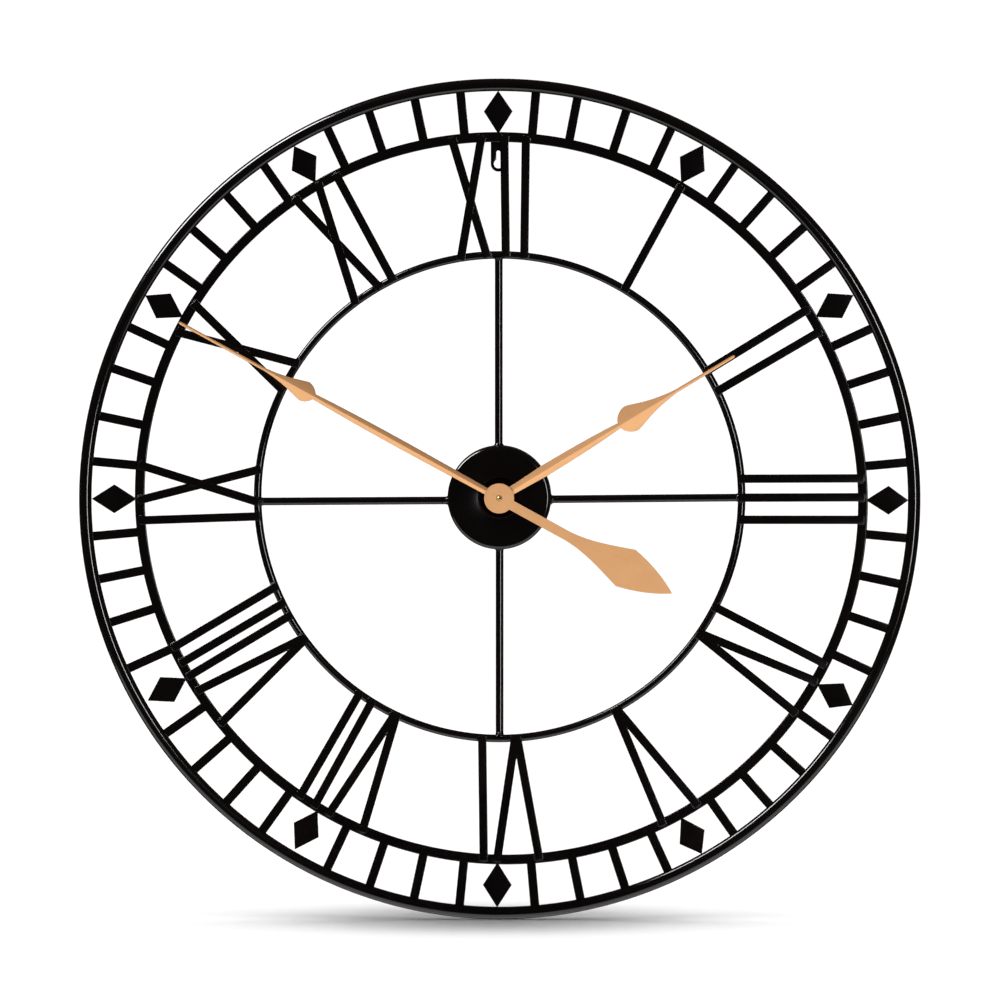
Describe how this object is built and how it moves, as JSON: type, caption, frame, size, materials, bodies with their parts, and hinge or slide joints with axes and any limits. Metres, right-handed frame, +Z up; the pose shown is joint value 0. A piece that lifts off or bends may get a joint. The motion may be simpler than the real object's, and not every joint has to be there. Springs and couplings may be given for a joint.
{
  "type": "wall clock",
  "caption": "Round open-frame wall clock: tube rim, minute ring with bars and diamonds, welded Roman numerals, rod spokes, hub cup with quartz movement and folded sheet hands.",
  "frame": {"origin": "on the wall plane, behind the centre of the outer ring; the dial's centre, the inner ring and the hub sit 2.4 mm above it", "axes": "+Z up, the dial faces -Y and the wall is the plane y = 0, +X to the right as the dial is read"},
  "size_m": [0.8, 0.039, 0.8],
  "materials": {
    "black_paint": "gloss black enamel over welded steel",
    "hand_metal": "rose gold anodised, satin with fine lengthwise brushing",
    "brass": "bright turned",
    "case_plastic": "fine spark-eroded texture",
    "wheel_plastic": "natural acetal, satin",
    "rubber": "matt moulded",
    "steel": "rolled strip",
    "copper_wire": "enamelled copper winding",
    "circuit_board": "green solder mask",
    "battery_wrap": "satin printed sleeve without print"
  },
  "bodies": {
    "frame": {"battery": "battery_wrap", "battery_contact_minus": "steel", "battery_contact_plus": "steel", "brass_washer": "brass", "circuit_board": "circuit_board", "coil": "copper_wire", "hanger_plate": "black_paint", "hex_nut": "brass", "hub_cup": "black_paint", "inner_ring": "black_paint", "minute_ring": "black_paint", "movement_case": "case_plastic", "movement_cover": "case_plastic", "numeral_10_x": "black_paint", "numeral_11_bar": "black_paint", "numeral_11_x": "black_paint", "numeral_12_bar_a": "black_paint", "numeral_12_bar_b": "black_paint", "numeral_12_x": "black_paint", "numeral_1_bar": "black_paint", "numeral_2_bar_a": "black_paint", "numeral_2_bar_b": "black_paint", "numeral_3_bar_a": "black_paint", "numeral_3_bar_b": "black_paint", "numeral_3_bar_c": "black_paint", "numeral_4_bar": "black_paint", "numeral_4_v": "black_paint", "numeral_5_v": "black_paint", "numeral_6_bar": "black_paint", "numeral_6_v": "black_paint", "numeral_7_bar_a": "black_paint", "numeral_7_bar_b": "black_paint", "numeral_7_v": "black_paint", "numeral_8_bar_a": "black_paint", "numeral_8_bar_b": "black_paint", "numeral_8_bar_c": "black_paint", "numeral_8_v": "black_paint", "numeral_9_bar": "black_paint", "numeral_9_x": "black_paint", "outer_ring_tube": "black_paint", "rotor": "steel", "rubber_washer": "rubber", "spoke_12": "black_paint", "spoke_3": "black_paint", "spoke_6": "black_paint", "spoke_9": "black_paint", "stator": "steel"},
    "minute_hand": {"minute_hand": "hand_metal", "minute_arbor": "brass", "centre_wheel": "wheel_plastic", "hand_nut": "brass"},
    "hour_hand": {"hour_hand": "hand_metal", "hour_wheel": "wheel_plastic"},
    "setting_knob": {"setting_knob": "wheel_plastic", "minute_wheel": "wheel_plastic"},
    "third_wheel": {"third_wheel": "wheel_plastic"},
    "step_wheel": {"step_wheel": "wheel_plastic"}
  },
  "joints": [
    {"name": "minute_hand_turn", "type": "hinge", "parent": "frame", "child": "minute_hand", "pos_m": [0, 0, 0.0024], "axis": [0, 1, 0], "continuous": true},
    {"name": "hour_hand_turn", "type": "hinge", "parent": "frame", "child": "hour_hand", "pos_m": [0, 0, 0.0024], "axis": [0, 1, 0], "continuous": true},
    {"name": "setting_knob_turn", "type": "hinge", "parent": "frame", "child": "setting_knob", "pos_m": [0, 0, 0.0108], "axis": [0, 1, 0], "continuous": true},
    {"name": "third_wheel_turn", "type": "hinge", "parent": "frame", "child": "third_wheel", "pos_m": [-0.00765, 0, 0.0024], "axis": [0, 1, 0], "continuous": true},
    {"name": "step_wheel_turn", "type": "hinge", "parent": "frame", "child": "step_wheel", "pos_m": [-0.01202, 0, 0.00677], "axis": [0, 1, 0], "continuous": true}
  ],
  "couplings": [
    {"joint": "hour_hand_turn", "follows": "minute_hand_turn", "ratio": 0.083333},
    {"joint": "setting_knob_turn", "follows": "minute_hand_turn", "ratio": -0.33333},
    {"joint": "third_wheel_turn", "follows": "minute_hand_turn", "ratio": -7.5},
    {"joint": "step_wheel_turn", "follows": "minute_hand_turn", "ratio": 60}
  ]
}
